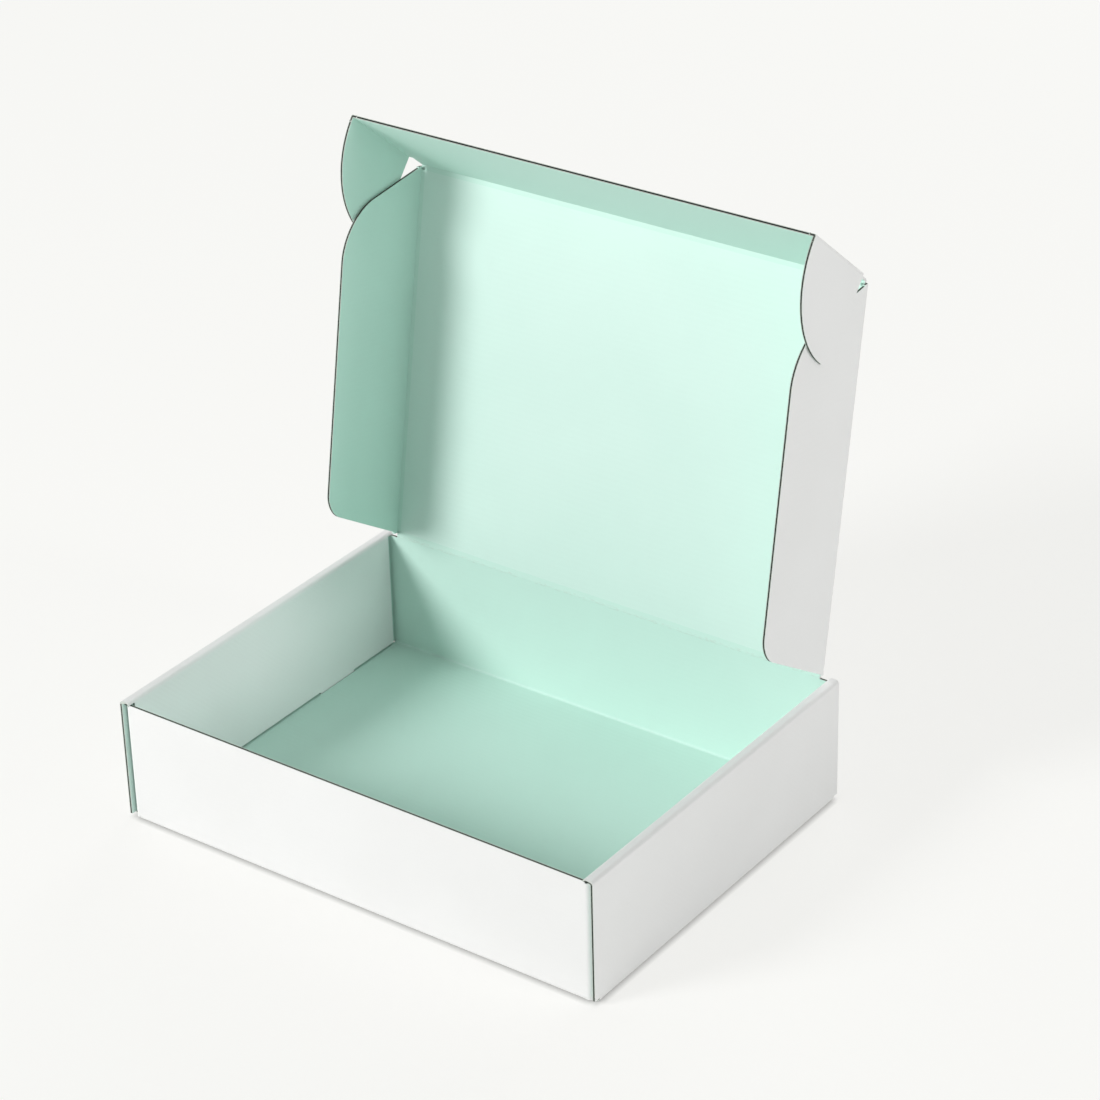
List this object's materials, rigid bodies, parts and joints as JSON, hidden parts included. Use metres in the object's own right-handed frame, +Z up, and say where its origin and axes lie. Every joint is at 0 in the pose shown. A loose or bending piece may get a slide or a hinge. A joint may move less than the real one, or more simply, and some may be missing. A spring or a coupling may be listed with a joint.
{
  "type": "corrugated mailer box",
  "caption": "Open roll-end mailer box of thin corrugated board: shallow tray with double side walls, hinged lid with rounded side flaps, front tuck flap and locking ears.",
  "frame": {"origin": "middle of the underside of the tray's floor", "axes": "+X to the right across the two side walls, +Y to the back wall and the lid's hinge, +Z up"},
  "size_m": [0.3, 0.2591, 0.3291],
  "materials": {
    "tray_board": "white printed board outside, mint green inside, matt",
    "lid_board": "mint green inside, white outside, matt"
  },
  "bodies": {
    "tray": {"tray": "tray_board"},
    "lid": {"lid": "lid_board"},
    "dust_flap_left": {"dust_flap_left": "lid_board"},
    "dust_flap_right": {"dust_flap_right": "lid_board"},
    "tuck_flap": {"tuck_flap": "lid_board"},
    "ear_left": {"ear_left": "lid_board"},
    "ear_right": {"ear_right": "lid_board"}
  },
  "joints": [
    {"name": "lid_hinge", "type": "hinge", "parent": "tray", "child": "lid", "pos_m": [0, 0.11, 0.07175], "axis": [1, 0, 0], "range_deg": [-75, 100]},
    {"name": "tuck_hinge", "type": "hinge", "parent": "lid", "child": "tuck_flap", "pos_m": [0, 0.14734, 0.28353], "axis": [1, 0, 0], "range_deg": [-34.5, 46]},
    {"name": "dust_hinge_left", "type": "hinge", "parent": "lid", "child": "dust_flap_left", "pos_m": [-0.13945, 0.12793, 0.17777], "axis": [0, -0.1736, -0.9848], "range_deg": [-85, 0]},
    {"name": "dust_hinge_right", "type": "hinge", "parent": "lid", "child": "dust_flap_right", "pos_m": [0.13945, 0.12793, 0.17777], "axis": [0, 0.1736, 0.9848], "range_deg": [-85, 0]},
    {"name": "ear_hinge_left", "type": "hinge", "parent": "tuck_flap", "child": "ear_left", "pos_m": [-0.1421, 0.1167, 0.30924], "axis": [0, -0.766, 0.6428], "range_deg": [-85, 0]},
    {"name": "ear_hinge_right", "type": "hinge", "parent": "tuck_flap", "child": "ear_right", "pos_m": [0.1421, 0.1167, 0.30924], "axis": [0, 0.766, -0.6428], "range_deg": [-85, 0]}
  ],
  "couplings": [
    {"joint": "tuck_hinge", "follows": "lid_hinge", "ratio": 0.455}
  ]
}
